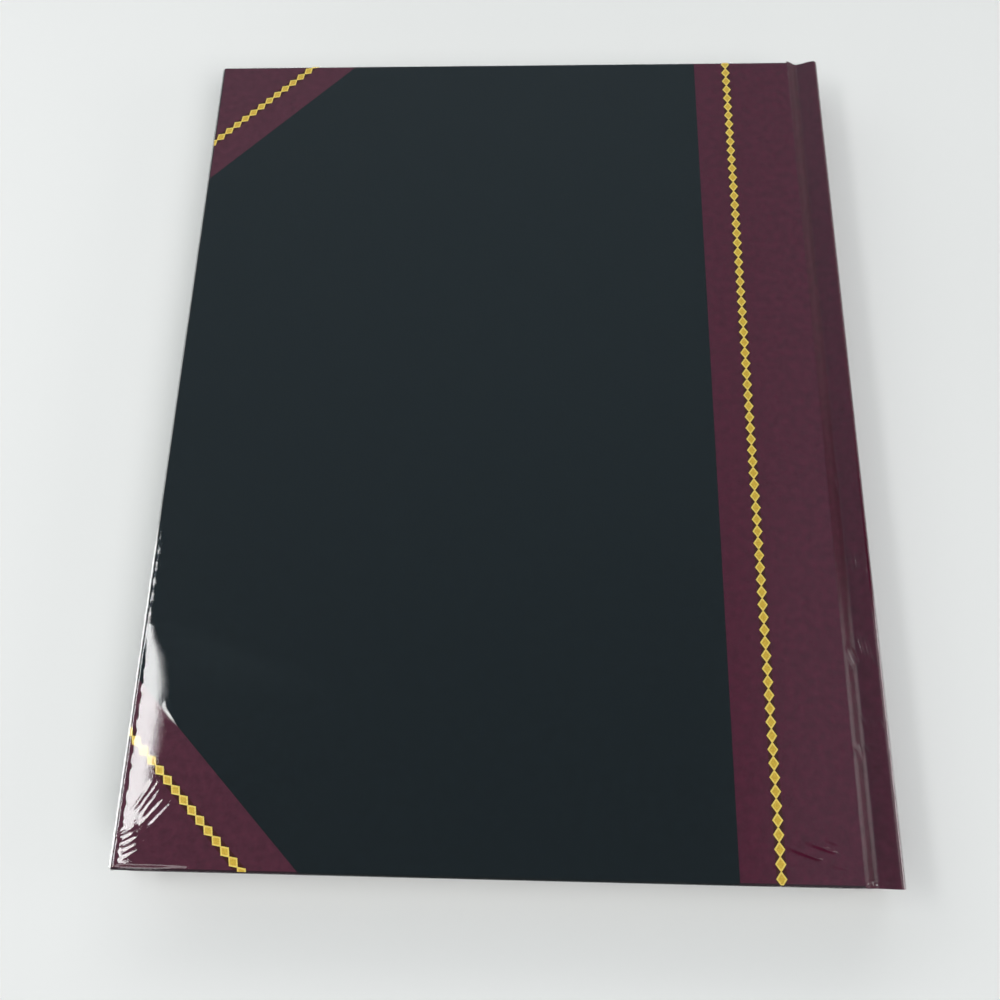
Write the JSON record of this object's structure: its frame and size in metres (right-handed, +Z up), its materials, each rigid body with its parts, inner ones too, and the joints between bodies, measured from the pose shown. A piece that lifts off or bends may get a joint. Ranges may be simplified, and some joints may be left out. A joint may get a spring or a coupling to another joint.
{
  "type": "log book",
  "caption": "Hard-bound log book in clear shrink film, black covers with burgundy spine and corners, gold diamond chains, sewn ruled sections and opening covers",
  "frame": {"origin": "under the middle of the closed book, on the surface that it lies on", "axes": "+X to the spine, +Y to the head, +Z up through the back cover"},
  "size_m": [0.2064, 0.2636, 0.0146],
  "materials": {
    "black_covering": "black covering with fine leather grain",
    "burgundy_covering": "burgundy covering with fine leather grain",
    "gold_foil": "stamped gold, hatched",
    "greyboard": "grey binder's board",
    "mull_cloth": "open cotton cloth",
    "endpaper": "plain cream paper",
    "lining_paper": "brown kraft paper",
    "sewing_thread": "linen thread",
    "ruled_paper": "cream paper with pale blue rules and a red margin",
    "shrink_film": "clear glossy shrink film"
  },
  "bodies": {
    "text_block": {"spine_board": "greyboard", "spine_covering": "burgundy_covering", "spine_film": "shrink_film", "spine_lining": "lining_paper", "spine_mull": "mull_cloth", "sewing_thread": "sewing_thread", "section_1": "ruled_paper", "section_2": "ruled_paper", "turning_section_folds": "ruled_paper", "back_joint_covering": "burgundy_covering", "back_joint_cloth": "mull_cloth", "back_joint_endpaper": "endpaper", "back_joint_film": "shrink_film", "front_joint_covering": "burgundy_covering", "front_joint_cloth": "mull_cloth", "front_joint_endpaper": "endpaper", "front_joint_film": "shrink_film"},
    "back_cover": {"back_board": "greyboard", "back_panel": "black_covering", "back_spine_strip": "burgundy_covering", "back_corner_head": "burgundy_covering", "back_corner_tail": "burgundy_covering", "back_gold_chain": "gold_foil", "back_mull_wing": "mull_cloth", "back_pastedown": "endpaper", "back_film": "shrink_film"},
    "front_cover": {"front_board": "greyboard", "front_panel": "black_covering", "front_spine_strip": "burgundy_covering", "front_corner_head": "burgundy_covering", "front_corner_tail": "burgundy_covering", "front_gold_chain": "gold_foil", "front_mull_wing": "mull_cloth", "front_pastedown": "endpaper", "front_film": "shrink_film"},
    "back_flyleaf": {"back_flyleaf": "endpaper"},
    "section_5": {"section_5": "ruled_paper"},
    "section_4": {"section_4": "ruled_paper"},
    "section_3": {"section_3": "ruled_paper"},
    "front_flyleaf": {"front_flyleaf": "endpaper"}
  },
  "joints": [
    {"name": "back_cover_hinge", "type": "hinge", "parent": "text_block", "child": "back_cover", "pos_m": [0.0983, 0, 0.0133], "axis": [0, 1, 0], "range_deg": [0, 180], "deforming": ["back_joint_covering", "back_joint_cloth", "back_joint_endpaper", "back_joint_film"]},
    {"name": "front_cover_hinge", "type": "hinge", "parent": "text_block", "child": "front_cover", "pos_m": [0.0983, 0, 0.0013], "axis": [0, -1, 0], "range_deg": [0, 180], "deforming": ["front_joint_covering", "front_joint_cloth", "front_joint_endpaper", "front_joint_film"]},
    {"name": "back_flyleaf_turn", "type": "hinge", "parent": "text_block", "child": "back_flyleaf", "pos_m": [0.0983, 0, 0.0133], "axis": [0, 1, 0], "range_deg": [0, 171]},
    {"name": "section_5_turn", "type": "hinge", "parent": "text_block", "child": "section_5", "pos_m": [0.0983, 0, 0.0133], "axis": [0, 1, 0], "range_deg": [0, 162]},
    {"name": "section_4_turn", "type": "hinge", "parent": "text_block", "child": "section_4", "pos_m": [0.0983, 0, 0.0133], "axis": [0, 1, 0], "range_deg": [0, 10.8]},
    {"name": "section_3_turn", "type": "hinge", "parent": "text_block", "child": "section_3", "pos_m": [0.0983, 0, 0.0133], "axis": [0, 1, 0], "range_deg": [0, 3.6]},
    {"name": "front_flyleaf_turn", "type": "hinge", "parent": "text_block", "child": "front_flyleaf", "pos_m": [0.0983, 0, 0.0013], "axis": [0, -1, 0], "range_deg": [0, 171]}
  ],
  "couplings": [
    {"joint": "back_flyleaf_turn", "follows": "back_cover_hinge", "ratio": 0.95},
    {"joint": "section_5_turn", "follows": "back_cover_hinge", "ratio": 0.9},
    {"joint": "section_4_turn", "follows": "back_cover_hinge", "ratio": 0.06},
    {"joint": "section_3_turn", "follows": "back_cover_hinge", "ratio": 0.02},
    {"joint": "front_flyleaf_turn", "follows": "front_cover_hinge", "ratio": 0.95}
  ]
}
